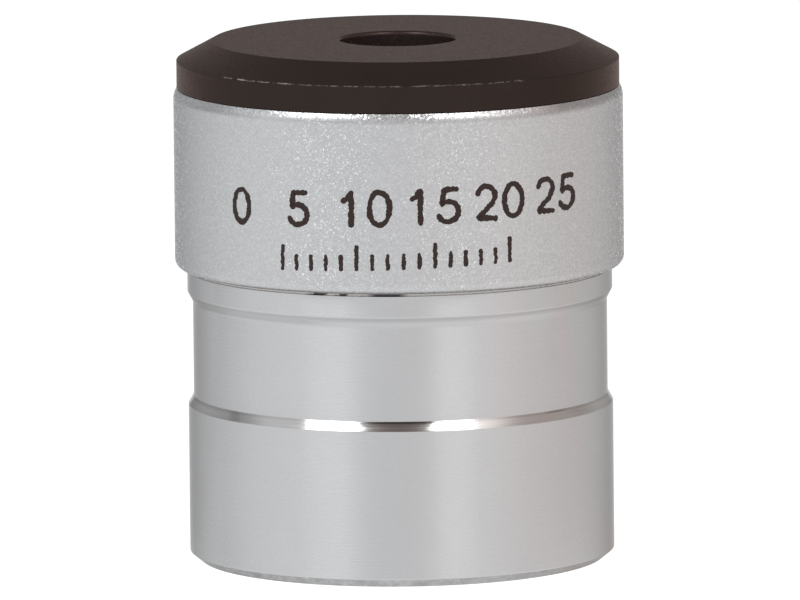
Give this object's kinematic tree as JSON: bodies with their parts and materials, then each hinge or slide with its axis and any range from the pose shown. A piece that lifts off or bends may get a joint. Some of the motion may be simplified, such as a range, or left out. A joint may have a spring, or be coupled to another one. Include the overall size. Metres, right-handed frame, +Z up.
{
  "type": "telescope eyepiece",
  "caption": "Short telescope eyepiece: bevelled black eye cap, satin housing and polished 1.25 inch barrel with a safety undercut, around a screw-in lens cell with cemented doublets.",
  "frame": {"origin": "centre of the barrel's bottom rim, on the optical axis", "axes": "+Z up the optical axis towards the eye, -Y towards the side that carries the marking, +X to the right of it"},
  "size_m": [0.0335, 0.0334, 0.0389],
  "materials": {
    "cap_black": "matte",
    "housing_satin": "satin",
    "barrel_chrome": "polished",
    "inner_black": "matte",
    "flint_glass": "polished",
    "crown_glass": "polished",
    "spring_steel": "satin",
    "marking_ink": "matte"
  },
  "bodies": {
    "housing": {"housing": "housing_satin"},
    "lens_stack": {"eye_lens_flint": "flint_glass", "eye_lens_crown": "crown_glass", "lens_spacer": "inner_black", "field_lens_crown": "crown_glass", "field_lens_flint": "flint_glass"},
    "eye_cap": {"eye_cap": "cap_black", "lens_cell": "inner_black", "lens_retaining_ring": "inner_black"},
    "field_stop": {"field_stop": "inner_black"},
    "barrel": {"barrel": "barrel_chrome", "field_stop_snap_ring": "spring_steel"}
  },
  "joints": [
    {"name": "cap_advance", "type": "slide", "parent": "housing", "child": "lens_stack", "axis": [0, 0, 1], "range_m": [0, 0.0045]},
    {"name": "cap_turn", "type": "hinge", "parent": "lens_stack", "child": "eye_cap", "pos_m": [0, 0, 0.03545], "axis": [0, 0, 1], "range_deg": [0, 2160]},
    {"name": "barrel_advance", "type": "slide", "parent": "housing", "child": "field_stop", "axis": [0, 0, -1], "range_m": [0, 0.0045]},
    {"name": "barrel_turn", "type": "hinge", "parent": "field_stop", "child": "barrel", "pos_m": [0, 0, 0.022], "axis": [0, 0, -1], "range_deg": [0, 2160]}
  ],
  "couplings": [
    {"joint": "cap_advance", "follows": "cap_turn", "m_per_rad": 0.00011937},
    {"joint": "barrel_advance", "follows": "barrel_turn", "m_per_rad": 0.00011937}
  ]
}
